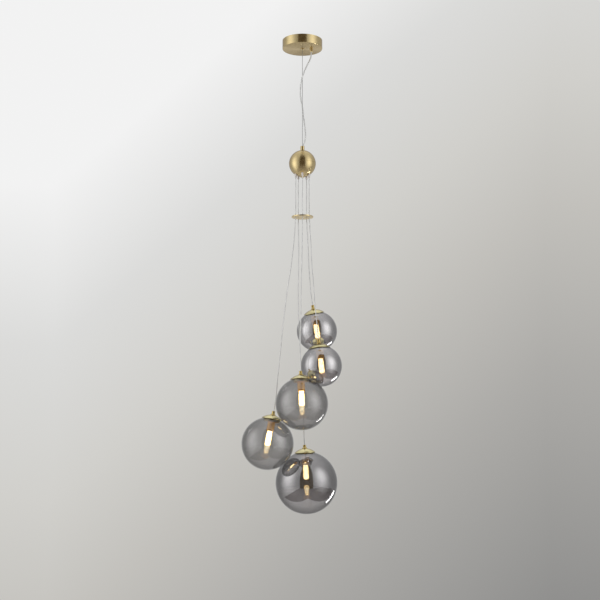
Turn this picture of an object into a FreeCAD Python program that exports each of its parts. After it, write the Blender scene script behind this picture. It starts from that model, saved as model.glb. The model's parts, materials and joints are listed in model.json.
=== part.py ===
import FreeCAD, Part
import math
import os
import re

# A cluster pendant lamp: a brass canopy, a steel wire and a clear power cable, a brass sphere
# that splits the supply into five clear cables, a spacer disc, and five smoked glass globes hung
# at different heights. The origin is the middle of the canopy's ceiling face, +Z is up, and +X is
# to the right of someone who faces the lamp. Lengths are in millimetres, angles in degrees.

DOC = FreeCAD.newDocument("cluster_pendant")
SHEET = DOC.addObject("Spreadsheet::Sheet", "Sizes")

COMMON_SIZES = {
    # how far a hole's cutting cylinder stands out past the faces that it cuts
    "cut_margin": 5,
    # ceiling bracket and canopy
    "canopy_diameter": 120,
    "canopy_height": 26,
    "canopy_wall": 1.5,
    "canopy_edge_round": 1.2,
    "bracket_end_gap": 7,
    "bracket_width": 22,
    "bracket_thickness": 2.5,
    "bracket_tab_height": 15,
    "bracket_slot_spacing": 70,
    "bracket_slot_width": 5.2,
    "bracket_slot_length": 12,
    "grub_diameter": 4,
    "grub_drop": 10,
    "grub_sink": 0.5,
    "thread_gap": 0.1,
    # supply terminal block inside the canopy
    "terminal_length": 30,
    "terminal_width": 14,
    "terminal_height": 12,
    "terminal_offset": 24,
    "terminal_bore": 3.4,
    "terminal_pitch": 10,
    # wire nozzle in the middle of the canopy
    "nozzle_diameter": 9.8,
    "nozzle_bore": 6.4,
    "nozzle_floor": 3,
    "nozzle_stand_out": 1.5,
    "nozzle_top_gap": 0.5,
    # cord grip beside it
    "grip_offset": 27,
    "grip_diameter": 9,
    "grip_length": 9.5,
    "grip_nut_diameter": 12,
    "grip_nut_height": 4,
    "grip_tip": 3,
    "grip_taper": 0.75,
    # suspension wire with a ball swaged on each end
    "wire_diameter": 1.5,
    "wire_ball_diameter": 5,
    "wire_hole_diameter": 3.2,
    "wire_seat_gap": 0.02,
    # power cable
    "power_cable_diameter": 4,
    "power_entry_lead": 5,
    "cable_play": 0.1,
    # hub
    "hub_diameter": 80,
    "hub_drop": 379.5,
    "hub_wall": 1.5,
    "hub_lap_height": 4,
    "hub_lap_thickness": 1,
    "hub_flat_depth": 0.6,
    "stem_diameter": 12,
    "stem_bore": 10.4,
    "stem_stand_out": 13.5,
    "stem_bore_depth": 8,
    "stem_floor": 3,
    "stem_length": 30,
    "stem_flange_diameter": 18,
    "stem_flange_height": 2,
    "stem_thread_diameter": 8,
    "power_entry_offset": 3.1,
    "tie_engagement": 9,
    "tie_head_diameter": 12,
    "tie_head_height": 2.5,
    "splitter_diameter": 52,
    "splitter_height": 8,
    "bush_diameter": 6.4,
    "bush_length": 14,
    "bush_stand_out": 9,
    # pendant cables and the disc that spaces them
    "cable_diameter": 2.8,
    "cable_lead": 30,
    "cable_circle_diameter": 42,
    "disc_diameter": 64,
    "disc_thickness": 3,
    "disc_drop": 541,
    "pivot_gap": 0.1,
    # gland and cap on each globe
    "gland_diameter": 9,
    "gland_foot_diameter": 16,
    "gland_foot_height": 4.5,
    "gland_bore_depth": 8,
    "gland_spigot_diameter": 9.8,
    "gland_spigot_length": 8,
    "glass_drop": 19,
    "cap_diameter": 61,
    "cap_dome_radius": 44,
    "cap_thickness": 1.2,
    "cap_rim_gap": 0.8,
    "cap_flat_depth": 0.7,
    "cap_pad_diameter": 20,
    "cap_pad_thickness": 2.2,
    # collar cemented into the mouth of each globe
    "glass_wall": 2.5,
    "mouth_diameter": 46,
    "collar_wall": 3,
    "collar_rim_width": 4,
    "collar_rim_thickness": 1.2,
    "collar_depth": 10,
    "cement_gap": 0.1,
    "collar_play": 0.08,
    # lampholder, ceramic socket and bulb
    "holder_boss_diameter": 18,
    "holder_flange_drop": 5.1,
    "holder_flange_height": 4,
    "holder_sleeve_diameter": 22,
    "holder_sleeve_length": 30,
    "holder_wall": 1.4,
    "holder_shoulder": 6,
    "socket_play": 0.1,
    "socket_height": 23,
    "pin_diameter": 1.8,
    "pin_pitch": 9,
    "pin_reach": 15,
    "pin_end_gap": 0.3,
    "pin_play": 0.1,
    "bulb_gap": 0.3,
    "bulb_base_diameter": 14,
    "bulb_base_height": 8,
    "bulb_diameter": 16,
    "bulb_length": 35,
}

# Each globe's own sizes: its cable's place round the hub, the middle of the gland's top, how far
# the globe's lower end leans to the right and away from the viewer, and the glass.
PENDANT_SIZES = {
    1: {"hole_angle": 54, "gland_x": 30.1, "gland_y": 51.7, "gland_drop": 797.5,
        "lean_right": 9.5, "lean_back": 6, "globe_diameter": 120},
    2: {"hole_angle": -18, "gland_x": 46.6, "gland_y": -5, "gland_drop": 903.6,
        "lean_right": 6, "lean_back": 0, "globe_diameter": 120},
    3: {"hole_angle": -90, "gland_x": -5.3, "gland_y": -55.4, "gland_drop": 999.6,
        "lean_right": 2, "lean_back": -4, "globe_diameter": 150},
    4: {"hole_angle": 198, "gland_x": -82.8, "gland_y": -21.7, "gland_drop": 1113.2,
        "lean_right": -10.5, "lean_back": -2, "globe_diameter": 150},
    5: {"hole_angle": 126, "gland_x": 5.9, "gland_y": 32.1, "gland_drop": 1209.7,
        "lean_right": 3, "lean_back": 1.5, "globe_diameter": 180},
}

# The points that each pendant cable passes between the spacer disc and its gland.
CABLE_POINTS = {
    1: [(16.5, 25, -610), (18.5, 34, -668), (22, 42.5, -722)],
    2: [(24.5, -6.5, -608), (27, -6, -675), (32, -5.8, -733), (36, -5.5, -790), (39.8, -5.2, -838)],
    3: [(-0.6, -29, -648), (-3.6, -35.5, -735), (-4.2, -42, -822), (-6, -48.5, -902)],
    4: [(-24, -8, -610), (-33, -11, -690), (-46, -13.5, -772), (-56, -16, -858),
        (-64, -18.2, -940), (-71.5, -19.8, -1015)],
    5: [(-10.5, 17.5, -628), (-11.8, 18.3, -705), (-12.3, 18.5, -790), (-9.5, 20.5, -880),
        (-5, 25, -965), (-0.3, 28.8, -1048), (2.8, 30.8, -1120)],
}

# The power cable leaves the cord grip, winds once round the wire and enters the hub's stem.
POWER_POINTS = [
    (27, 0, -49.5), (19, -2.5, -68), (9.5, -5, -88), (0.5, -6, -111), (-5, -3, -136),
    (-7, 1, -162), (-4, 5, -186), (1, 6.5, -210), (3.5, 4.5, -237), (7.2, 2.5, -264),
    (9.5, 0.5, -290), (8, 0, -309),
]

# How much of the shorter of two runs the arc between them takes.
BEND_SHARE = 0.45

PENDANTS = sorted(PENDANT_SIZES)
MODEL = []

# Places along the lamp's axis, and along each pendant's own axis, where 0 is the gland's top.
BRACKET_LENGTH = "(canopy_diameter - 2 * bracket_end_gap)"
BALL_DROP = "(sqrt((wire_ball_diameter / 2)^2 - (wire_hole_diameter / 2)^2) + wire_seat_gap)"
WIRE_TOP = f"(-canopy_height - nozzle_stand_out + nozzle_floor + {BALL_DROP})"
STEM_TOP = "(-hub_drop + sqrt((hub_diameter / 2)^2 - (stem_diameter / 2)^2) + stem_stand_out)"
STEM_END = f"({STEM_TOP} - stem_length)"
WIRE_BOTTOM = f"({STEM_TOP} - stem_bore_depth - stem_floor - {BALL_DROP})"
FLANGE_TOP = "(-glass_drop - holder_flange_drop)"
SLEEVE_TOP = f"({FLANGE_TOP} - holder_flange_height)"
SOCKET_TOP = f"({SLEEVE_TOP} - holder_shoulder)"
SOCKET_BOTTOM = f"({SOCKET_TOP} - socket_height)"


def fill_sheet():
    sizes = dict(COMMON_SIZES)
    for number, own in PENDANT_SIZES.items():
        for name, value in own.items():
            sizes[f"{name}_{number}"] = value
    for row, (name, value) in enumerate(sizes.items(), start=1):
        SHEET.set(f"A{row}", name)
        SHEET.set(f"B{row}", str(value))
        SHEET.setAlias(f"B{row}", name)
    DOC.recompute()


def expression(text):
    """Words are the sheet's aliases, but for the unit deg and functions such as sqrt(...)."""
    return re.sub(r"\b(?!deg\b)([a-z]\w*)\b(?!\()", r"Sizes.\1", text)


def size(text):
    return float(SHEET.evalExpression(expression(text)))


def bind(thing, **bound):
    for name, text in bound.items():
        thing.setExpression(name, expression(text))
    return thing


def put(thing, x, y, z):
    thing.setExpression("Placement.Base.x", expression(x))
    thing.setExpression("Placement.Base.y", expression(y))
    thing.setExpression("Placement.Base.z", expression(z))
    return thing


def cylinder(name, radius, top, bottom, x="0", y="0"):
    thing = bind(DOC.addObject("Part::Cylinder", name), Radius=radius, Height=f"({top}) - ({bottom})")
    return put(thing, x, y, bottom)


def cross_cylinder(name, radius, start, end, y, z, backwards=False):
    """A cylinder along X from start to end, or towards -X from start where it goes backwards."""
    thing = bind(DOC.addObject("Part::Cylinder", name), Radius=radius)
    thing.setExpression("Height", expression(f"abs(({end}) - ({start}))"))
    thing.Placement.Rotation = FreeCAD.Rotation(FreeCAD.Vector(0, 1, 0), -90 if backwards else 90)
    return put(thing, start, y, z)


def cone(name, lower, upper, height, bottom, x="0"):
    thing = DOC.addObject("Part::Cone", name)
    bind(thing, Radius1=lower, Radius2=upper, Height=height)
    return put(thing, x, "0", bottom)


def ball(name, radius, middle):
    return put(bind(DOC.addObject("Part::Sphere", name), Radius=radius), "0", "0", middle)


def block(name, length, width, height, x, y, z):
    thing = DOC.addObject("Part::Box", name)
    bind(thing, Length=length, Width=width, Height=height)
    return put(thing, x, y, z)


def hexagon(name, across, height, bottom, x="0"):
    thing = DOC.addObject("Part::Prism", name)
    thing.Polygon = 6
    bind(thing, Circumradius=f"({across}) / 2", Height=height)
    return put(thing, x, "0", bottom)


def fuse(name, *shapes):
    thing = DOC.addObject("Part::MultiFuse", name)
    thing.Shapes = list(shapes)
    thing.Refine = True
    return thing


def common(name, *shapes):
    thing = DOC.addObject("Part::MultiCommon", name)
    thing.Shapes = list(shapes)
    thing.Refine = True
    return thing


def cut(name, base, *tools):
    thing = DOC.addObject("Part::Cut", name)
    thing.Base = base
    thing.Tool = tools[0] if len(tools) == 1 else fuse(f"{name}_tools", *tools)
    thing.Refine = True
    return thing


def group(name, *shapes):
    """Separate solids of one kind in one node."""
    thing = DOC.addObject("Part::Compound", name)
    thing.Links = list(shapes)
    return thing


def node(thing, label, placement=None):
    thing.Label = label
    if placement is not None:
        thing.Placement = placement
    MODEL.append(thing)
    return thing


def cable(label, points, radius, head=None):
    """A tube through the points: straight runs joined by arcs as large as the runs allow."""
    points = [FreeCAD.Vector(*p) for p in points]
    edges = []
    radii = []
    start = points[0]
    for before, here, after in zip(points, points[1:], points[2:]):
        back = (before - here).normalize()
        forth = (after - here).normalize()
        turn = math.pi - back.getAngle(forth)
        shorter = min((before - here).Length, (after - here).Length)
        reach = BEND_SHARE * shorter
        arc_radius = reach / math.tan(turn / 2)
        towards_middle = (back + forth).normalize()
        middle = here + towards_middle * (arc_radius / math.cos(turn / 2) - arc_radius)
        arc_start = here + back * reach
        arc_end = here + forth * reach
        edges.append(Part.LineSegment(start, arc_start).toShape())
        edges.append(Part.Arc(arc_start, middle, arc_end).toShape())
        radii.append(arc_radius)
        start = arc_end
    edges.append(Part.LineSegment(start, points[-1]).toShape())
    path = Part.Wire(edges)
    ring = Part.Circle(points[0], points[1] - points[0], radius).toShape()
    tube = path.makePipeShell([Part.Wire([ring])], True, False)
    expected = math.pi * radius**2 * path.Length
    print(f"{label}: length {path.Length:.1f}, smallest radius {min(radii):.0f}, "
          f"volume {tube.Volume / expected:.5f} of section x length")
    if head is not None:
        tube = tube.fuse(Part.makeSphere(head, points[0]))
    thing = DOC.addObject("Part::Feature", f"{label}_tube")
    thing.Shape = tube
    return node(thing, label)


# ---------------------------------------------------------------- canopy


def grub_hole(name):
    """The hole for both grub screws, right across the canopy."""
    return cross_cylinder(name, "grub_diameter / 2 + thread_gap", "-canopy_diameter / 2 - cut_margin",
                          "canopy_diameter / 2 + cut_margin", "0", "-grub_drop")


def ceiling_bracket():
    """A flat bar with two slots for the ceiling screws and a tab down at each end."""
    above = "cut_margin"
    below = "-bracket_thickness - cut_margin"
    straight = "(bracket_slot_length - bracket_slot_width)"
    solids = [block("bracket_bar", BRACKET_LENGTH, "bracket_width", "bracket_thickness",
                    f"-{BRACKET_LENGTH} / 2", "-bracket_width / 2", "-bracket_thickness")]
    holes = [cylinder("bracket_thread", "nozzle_diameter / 2 + thread_gap", above, below),
             grub_hole("bracket_grub_hole")]
    tab_places = {"left": f"-{BRACKET_LENGTH} / 2", "right": f"{BRACKET_LENGTH} / 2 - bracket_thickness"}
    for side, tab_place in tab_places.items():
        solids.append(block(f"bracket_tab_{side}", "bracket_thickness", "bracket_width",
                            "bracket_tab_height", tab_place, "-bracket_width / 2", "-bracket_tab_height"))
    for side, middle in (("left", "-bracket_slot_spacing / 2"), ("right", "bracket_slot_spacing / 2")):
        holes.append(block(f"bracket_slot_{side}", straight, "bracket_slot_width",
                           f"({above}) - ({below})", f"{middle} - {straight} / 2",
                           "-bracket_slot_width / 2", below))
        for end in ("-", "+"):
            holes.append(cylinder(f"bracket_slot_{side}_end", "bracket_slot_width / 2", above, below,
                                  x=f"{middle} {end} {straight} / 2"))
    node(cut("bracket", fuse("bracket_solid", *solids), *holes), "ceiling_bracket")


def canopy_cover():
    """A spun cup with its open side against the ceiling."""
    outside = cylinder("canopy_outside", "canopy_diameter / 2", "0", "-canopy_height")
    rounded = DOC.addObject("Part::Fillet", "canopy_rounded")
    rounded.Base = outside
    DOC.recompute()
    lowest = outside.Shape.BoundBox.ZMin
    lower_edge = [i for i, edge in enumerate(outside.Shape.Edges, start=1)
                  if abs(edge.BoundBox.ZMax - lowest) < size("thread_gap")]
    rounded.Edges = [(lower_edge[0], size("canopy_edge_round"), size("canopy_edge_round"))]
    inside = cylinder("canopy_inside", "canopy_diameter / 2 - canopy_wall", "cut_margin",
                      "canopy_wall - canopy_height")
    wire_hole = cylinder("canopy_wire_hole", "nozzle_diameter / 2 + thread_gap",
                         "cut_margin - canopy_height", "-canopy_height - cut_margin")
    grip_hole = cylinder("canopy_grip_hole", "grip_diameter / 2 + thread_gap",
                         "cut_margin - canopy_height", "-canopy_height - cut_margin", x="grip_offset")
    node(cut("canopy", rounded, inside, wire_hole, grip_hole, grub_hole("canopy_grub_hole")),
         "canopy_cover")


def canopy_grub_screws():
    """Two grub screws hold the cover on the bracket's tabs and end just inside its wall."""
    inner = f"({BRACKET_LENGTH} / 2 - bracket_thickness)"
    outer = "(canopy_diameter / 2 - grub_sink)"
    right = cross_cylinder("grub_right", "grub_diameter / 2", inner, outer, "0", "-grub_drop")
    left = cross_cylinder("grub_left", "grub_diameter / 2", f"-{inner}", f"-{outer}", "0", "-grub_drop",
                          backwards=True)
    node(group("grubs", right, left), "canopy_grub_screws")


def supply_terminal():
    """A three way block screwed under the bracket, for the wires from the ceiling."""
    near = "(-terminal_offset - terminal_width / 2)"
    middle = "-bracket_thickness - terminal_height / 2"
    body = block("terminal_body", "terminal_width", "terminal_length", "terminal_height",
                 near, "-terminal_length / 2", "-bracket_thickness - terminal_height")
    bores = [cross_cylinder(f"terminal_bore_{way}", "terminal_bore / 2", f"{near} - cut_margin",
                            f"{near} + terminal_width + cut_margin", f"({way}) * terminal_pitch", middle)
             for way in (-1, 0, 1)]
    node(cut("terminal", body, *bores), "supply_terminal_block")


def wire_nozzle():
    """A threaded nipple from the bracket through the cover; its floor carries the wire's ball."""
    end = "(-canopy_height - nozzle_stand_out)"
    outside = cylinder("nozzle_outside", "nozzle_diameter / 2", "-nozzle_top_gap", end)
    bore = cylinder("nozzle_bore_hole", "nozzle_bore / 2", "cut_margin", f"{end} + nozzle_floor")
    hole = cylinder("nozzle_wire_hole", "wire_hole_diameter / 2", "cut_margin", f"{end} - cut_margin")
    node(cut("nozzle", outside, bore, hole), "wire_nozzle")


def power_cord_grip():
    """The strain relief that the power cable leaves the canopy through, with its nut inside."""
    end = "(-canopy_height - grip_length)"
    nut_top = "canopy_wall - canopy_height + grip_nut_height"
    barrel = cylinder("grip_barrel", "grip_diameter / 2", nut_top, f"{end} + grip_tip", x="grip_offset")
    tip = cone("grip_tip_cone", "grip_diameter / 2 - grip_taper", "grip_diameter / 2", "grip_tip", end,
               x="grip_offset")
    nut = hexagon("grip_nut", "grip_nut_diameter", "grip_nut_height", "canopy_wall - canopy_height",
                  x="grip_offset")
    bore = cylinder("grip_bore", "power_cable_diameter / 2 + cable_play", "cut_margin",
                    f"{end} - cut_margin", x="grip_offset")
    node(cut("grip", fuse("grip_solid", barrel, tip, nut), bore), "power_cord_grip")


# ---------------------------------------------------------------- suspension


def suspension_wire():
    """The load goes through this wire: a ball on each end sits in the nozzle and in the hub."""
    strand = cylinder("wire_strand", "wire_diameter / 2", WIRE_TOP, WIRE_BOTTOM)
    ends = [ball("wire_ball_top", "wire_ball_diameter / 2", WIRE_TOP),
            ball("wire_ball_bottom", "wire_ball_diameter / 2", WIRE_BOTTOM)]
    node(fuse("wire", strand, *ends), "suspension_wire")


def power_cable():
    entry = size("power_entry_offset")
    first = (size("grip_offset"), 0, size("-canopy_height - grip_tip"))
    last_bend = (entry, 0, size(f"{STEM_TOP} + power_entry_lead"))
    last = (entry, 0, size(f"{STEM_TOP} - stem_bore_depth"))
    cable("power_cable", [first] + POWER_POINTS + [last_bend, last], size("power_cable_diameter / 2"))


# ---------------------------------------------------------------- hub


def hub_stem():
    """A turned stem: the wire and the power cable enter its cup, and its floor sits on the ball."""
    flange_top = "(-hub_drop + sqrt((hub_diameter / 2 - hub_wall)^2 - (stem_flange_diameter / 2)^2))"
    cup_floor = f"({STEM_TOP} - stem_bore_depth)"
    outside = cylinder("stem_outside", "stem_diameter / 2", STEM_TOP, STEM_END)
    flange = cylinder("stem_flange", "stem_flange_diameter / 2", flange_top,
                      f"{flange_top} - stem_flange_height")
    cup = cylinder("stem_cup", "stem_bore / 2", f"{STEM_TOP} + cut_margin", cup_floor)
    hole = cylinder("stem_wire_hole", "wire_hole_diameter / 2", f"{cup_floor} + cut_margin",
                    f"{cup_floor} - stem_floor - cut_margin")
    thread = cylinder("stem_thread", "stem_thread_diameter / 2", f"{cup_floor} - stem_floor",
                      f"{STEM_END} - cut_margin")
    node(cut("stem", fuse("stem_solid", outside, flange), cup, hole, thread), "hub_stem")


def hollow_ball(name):
    """The hub's whole sphere, from which each shell takes its half."""
    return cut(f"{name}_sphere", ball(f"{name}_ball", "hub_diameter / 2", "-hub_drop"),
               ball(f"{name}_hollow", "hub_diameter / 2 - hub_wall", "-hub_drop"))


def hub_upper_shell():
    half = cylinder("upper_half", "hub_diameter", "hub_diameter - hub_drop", "-hub_drop")
    stem_hole = cylinder("upper_stem_hole", "stem_diameter / 2 + thread_gap",
                         "hub_diameter - hub_drop", "-hub_drop")
    node(cut("upper_shell", common("upper_blank", hollow_ball("upper"), half), stem_hole),
         "hub_upper_shell")


def hub_lower_shell():
    """Its lip laps inside the upper shell, and it is cut flat where the tie screw's head lies."""
    lowest = "(-hub_drop - hub_diameter / 2)"
    lip_outside = "(hub_diameter / 2 - hub_wall)"
    half = cylinder("lower_half", "hub_diameter", "-hub_drop", f"{lowest} + hub_flat_depth")
    lip_ring = cylinder("lower_lip_ring", lip_outside, "-hub_drop + hub_lap_height",
                        "-hub_drop - hub_lap_height")
    lip_blank = common("lower_lip_blank", lip_ring, ball("lower_lip_ball", lip_outside, "-hub_drop"))
    lip_bore = cylinder("lower_lip_bore", f"{lip_outside} - hub_lap_thickness",
                        "-hub_drop + hub_lap_height + cut_margin", "-hub_drop - hub_lap_height - cut_margin")
    blank = fuse("lower_shell_solid", common("lower_blank", hollow_ball("lower"), half),
                 cut("lower_lip", lip_blank, lip_bore))
    tie_hole = cylinder("lower_tie_hole", "stem_thread_diameter / 2", "-hub_drop", f"{lowest} - cut_margin")
    bush_holes = [cylinder(f"lower_bush_hole_{i}", "bush_diameter / 2 + thread_gap",
                           "-hub_drop - hub_lap_height", f"{lowest} - cut_margin",
                           round_circle("x", i), round_circle("y", i)) for i in PENDANTS]
    node(cut("lower_shell", blank, tie_hole, *bush_holes), "hub_lower_shell")


def round_circle(axis, number):
    turn = "cos" if axis == "x" else "sin"
    return f"cable_circle_diameter / 2 * {turn}(hole_angle_{number} * 1 deg)"


def hub_tie_screw():
    """It ties the lower shell to the stem."""
    head_top = "(-hub_drop - hub_diameter / 2 + hub_flat_depth)"
    shank = cylinder("tie_shank", "stem_thread_diameter / 2 - thread_gap", f"{STEM_END} + tie_engagement",
                     head_top)
    head = cylinder("tie_head", "tie_head_diameter / 2", head_top, f"{head_top} - tie_head_height")
    node(fuse("tie", shank, head), "hub_tie_screw")


def supply_splitter():
    """The block under the stem where the power cable's cores meet those of the five cables."""
    body = cylinder("splitter_body", "splitter_diameter / 2", STEM_END, f"{STEM_END} - splitter_height")
    bore = cylinder("splitter_bore", "stem_thread_diameter / 2", f"{STEM_END} + cut_margin",
                    f"{STEM_END} - splitter_height - cut_margin")
    node(cut("splitter", body, bore), "supply_splitter_block")


def hub_bushes():
    """Five bushes line the holes that the pendant cables leave the lower shell through."""
    surface = "-hub_drop - sqrt((hub_diameter / 2)^2 - (cable_circle_diameter / 2)^2)"
    end = f"({surface} - bush_stand_out)"
    bushes = []
    for i in PENDANTS:
        x = round_circle("x", i)
        y = round_circle("y", i)
        body = cylinder(f"bush_body_{i}", "bush_diameter / 2", f"{end} + bush_length", end, x, y)
        bore = cylinder(f"bush_bore_{i}", "cable_diameter / 2 + cable_play",
                        f"{end} + bush_length + cut_margin", f"{end} - cut_margin", x, y)
        bushes.append(cut(f"bush_{i}", body, bore))
    node(group("bushes", *bushes), "hub_cable_bushes")


def spacer_disc():
    """A flat disc that keeps the five cables apart below the hub."""
    top = "(-disc_drop + disc_thickness / 2)"
    plate = cylinder("disc_plate", "disc_diameter / 2", top, f"{top} - disc_thickness")
    holes = [cylinder(f"disc_hole_{i}", "cable_diameter / 2 + cable_play", f"{top} + cut_margin",
                      f"{top} - disc_thickness - cut_margin", round_circle("x", i), round_circle("y", i))
             for i in PENDANTS]
    node(cut("disc", plate, *holes), "spacer_disc")


def upper_cable(number):
    """The still part of a pendant cable, from the splitter block to the underside of the disc."""
    tube = cylinder(f"upper_cable_tube_{number}", "cable_diameter / 2", f"{STEM_END} - splitter_height",
                    "-disc_drop - disc_thickness / 2", round_circle("x", number), round_circle("y", number))
    node(tube, f"upper_cable_{number}")


# ---------------------------------------------------------------- pendants


def pendant_frame(number):
    """The middle of the gland's top, with +Z back up along the pendant's own axis."""
    lean_right = size(f"sin(lean_right_{number} * 1 deg)")
    lean_back = size(f"sin(lean_back_{number} * 1 deg)")
    up = FreeCAD.Vector(-lean_right, -lean_back, math.sqrt(1 - lean_right**2 - lean_back**2))
    base = FreeCAD.Vector(size(f"gland_x_{number}"), size(f"gland_y_{number}"), size(f"-gland_drop_{number}"))
    return FreeCAD.Placement(base, FreeCAD.Rotation(FreeCAD.Vector(0, 0, 1), up))


def pendant_pivot(number):
    """The middle of the cable's rounded end, just under the spacer disc."""
    z = size("-disc_drop - disc_thickness / 2 - cable_diameter / 2 - pivot_gap")
    return FreeCAD.Vector(size(round_circle("x", number)), size(round_circle("y", number)), z)


def lower_cable(number, frame):
    """The part of a pendant cable that swings with its globe."""
    lead_in = frame.multVec(FreeCAD.Vector(0, 0, size("cable_lead")))
    end = frame.multVec(FreeCAD.Vector(0, 0, size("-gland_bore_depth")))
    radius = size("cable_diameter / 2")
    points = [pendant_pivot(number)] + CABLE_POINTS[number] + [lead_in, end]
    cable(f"lower_cable_{number}", points, radius, head=radius)


def dome_middle(number):
    """The middle of the cap's dome, at the height that holds its rim just over the glass."""
    globe = f"(globe_diameter_{number} / 2)"
    glass = f"(-glass_drop - {globe} + sqrt({globe}^2 - (cap_diameter / 2)^2))"
    return f"({glass} + cap_rim_gap - sqrt((cap_dome_radius - cap_thickness)^2 - (cap_diameter / 2)^2))"


def cap_top(number):
    return f"({dome_middle(number)} + cap_dome_radius - cap_flat_depth)"


def holder_top(number):
    return f"({cap_top(number)} - cap_pad_thickness)"


def cable_gland(number, frame):
    """A turned gland on top of the cap, whose threaded spigot goes through the cap."""
    foot = cap_top(number)
    barrel = cylinder(f"gland_barrel_{number}", "gland_diameter / 2", "0", foot)
    flare = cone(f"gland_flare_{number}", "gland_foot_diameter / 2", "gland_diameter / 2",
                 "gland_foot_height", foot)
    spigot = cylinder(f"gland_spigot_{number}", "gland_spigot_diameter / 2", foot,
                      f"{foot} - gland_spigot_length")
    bore = cylinder(f"gland_bore_{number}", "cable_diameter / 2 + cable_play", "cut_margin",
                    "-gland_bore_depth")
    node(cut(f"gland_{number}", fuse(f"gland_solid_{number}", barrel, flare, spigot), bore),
         f"cable_gland_{number}", frame)


def globe_cap(number, frame):
    """A spun dome over the globe's mouth, flat in the middle under the gland."""
    middle = dome_middle(number)
    top = cap_top(number)
    bottom = holder_top(number)
    outside = ball(f"cap_outside_{number}", "cap_dome_radius", middle)
    inside = ball(f"cap_inside_{number}", "cap_dome_radius - cap_thickness", middle)
    disc = cylinder(f"cap_disc_{number}", "cap_diameter / 2", top, middle)
    dome = common(f"cap_dome_{number}", cut(f"cap_shell_{number}", outside, inside), disc)
    pad = cylinder(f"cap_pad_{number}", "cap_pad_diameter / 2", top, bottom)
    hole = cylinder(f"cap_hole_{number}", "gland_spigot_diameter / 2 + thread_gap",
                    f"{top} + cut_margin", f"{bottom} - cut_margin")
    node(cut(f"cap_{number}", fuse(f"cap_solid_{number}", dome, pad), hole), f"globe_cap_{number}", frame)


def lampholder(number, frame):
    """A turned holder under the cap: the globe's collar turns on its flange, and its sleeve
    carries the ceramic socket."""
    top = holder_top(number)
    sleeve_bottom = f"({SLEEVE_TOP} - holder_sleeve_length)"
    boss = cylinder(f"holder_boss_{number}", "holder_boss_diameter / 2", top, FLANGE_TOP)
    flange = cylinder(f"holder_flange_{number}",
                      "mouth_diameter / 2 - cement_gap - collar_wall - collar_play", FLANGE_TOP, SLEEVE_TOP)
    sleeve = cylinder(f"holder_sleeve_{number}", "holder_sleeve_diameter / 2", SLEEVE_TOP, sleeve_bottom)
    thread = cylinder(f"holder_thread_{number}", "gland_spigot_diameter / 2 + thread_gap",
                      f"{top} + cut_margin", f"{SOCKET_TOP} - thread_gap")
    hollow = cylinder(f"holder_hollow_{number}", "holder_sleeve_diameter / 2 - holder_wall", SOCKET_TOP,
                      f"{sleeve_bottom} - cut_margin")
    node(cut(f"holder_{number}", fuse(f"holder_solid_{number}", boss, flange, sleeve), thread, hollow),
         f"lampholder_{number}", frame)


def ceramic_socket(number, frame):
    """The insulator inside the sleeve, with a hole for each pin of the bulb."""
    body = cylinder(f"socket_body_{number}", "holder_sleeve_diameter / 2 - holder_wall - socket_play",
                    SOCKET_TOP, SOCKET_BOTTOM)
    holes = [cylinder(f"socket_hole_{number}_{side}", "pin_diameter / 2 + pin_play",
                      f"{SOCKET_BOTTOM} + pin_reach + pin_end_gap", f"{SOCKET_BOTTOM} - cut_margin",
                      x=f"({side}) * pin_pitch / 2") for side in (-1, 1)]
    node(cut(f"socket_{number}", body, *holes), f"ceramic_socket_{number}", frame)


def bulb(number, frame):
    """A two pin capsule bulb."""
    top = f"({SOCKET_BOTTOM} - bulb_gap)"
    base_bottom = f"({top} - bulb_base_height)"
    tip_middle = f"({base_bottom} - bulb_length + bulb_diameter / 2)"
    base = cylinder(f"bulb_base_{number}", "bulb_base_diameter / 2", top, base_bottom)
    tube = cylinder(f"bulb_tube_{number}", "bulb_diameter / 2", base_bottom, tip_middle)
    tip = ball(f"bulb_tip_{number}", "bulb_diameter / 2", tip_middle)
    pins = [cylinder(f"bulb_pin_{number}_{side}", "pin_diameter / 2", f"{SOCKET_BOTTOM} + pin_reach", top,
                     x=f"({side}) * pin_pitch / 2") for side in (-1, 1)]
    node(fuse(f"bulb_solid_{number}", base, tube, tip, *pins), f"bulb_{number}", frame)


def globe_collar(number, frame):
    """A brass ring cemented into the globe's mouth, with a thin rim over the glass."""
    radius = f"(globe_diameter_{number} / 2)"
    middle = f"(-glass_drop - {radius})"
    outer = "(mouth_diameter / 2 - cement_gap)"
    top = f"({middle} + sqrt({radius}^2 - (mouth_diameter / 2)^2) + collar_rim_thickness)"
    bottom = f"({top} - collar_depth)"
    limit = ball(f"collar_limit_{number}", f"{radius} + collar_rim_thickness", middle)
    ring = cylinder(f"collar_ring_{number}", outer, "0", bottom)
    rim_disc = cylinder(f"collar_rim_disc_{number}", "mouth_diameter / 2 + collar_rim_width", "0", middle)
    rim = cut(f"collar_rim_{number}", rim_disc, ball(f"collar_rim_under_{number}", radius, middle))
    blank = common(f"collar_blank_{number}", fuse(f"collar_solid_{number}", ring, rim), limit)
    bore = cylinder(f"collar_bore_{number}", f"{outer} - collar_wall", "0", f"{bottom} - cut_margin")
    node(cut(f"collar_{number}", blank, bore), f"globe_collar_{number}", frame)


def glass_globe(number, frame):
    """A blown globe, open at the top."""
    radius = f"(globe_diameter_{number} / 2)"
    middle = f"(-glass_drop - {radius})"
    outside = ball(f"globe_outside_{number}", radius, middle)
    inside = ball(f"globe_inside_{number}", f"{radius} - glass_wall", middle)
    mouth = cylinder(f"globe_mouth_{number}", "mouth_diameter / 2", "0", middle)
    node(cut(f"globe_{number}", outside, inside, mouth), f"glass_globe_{number}", frame)


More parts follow.
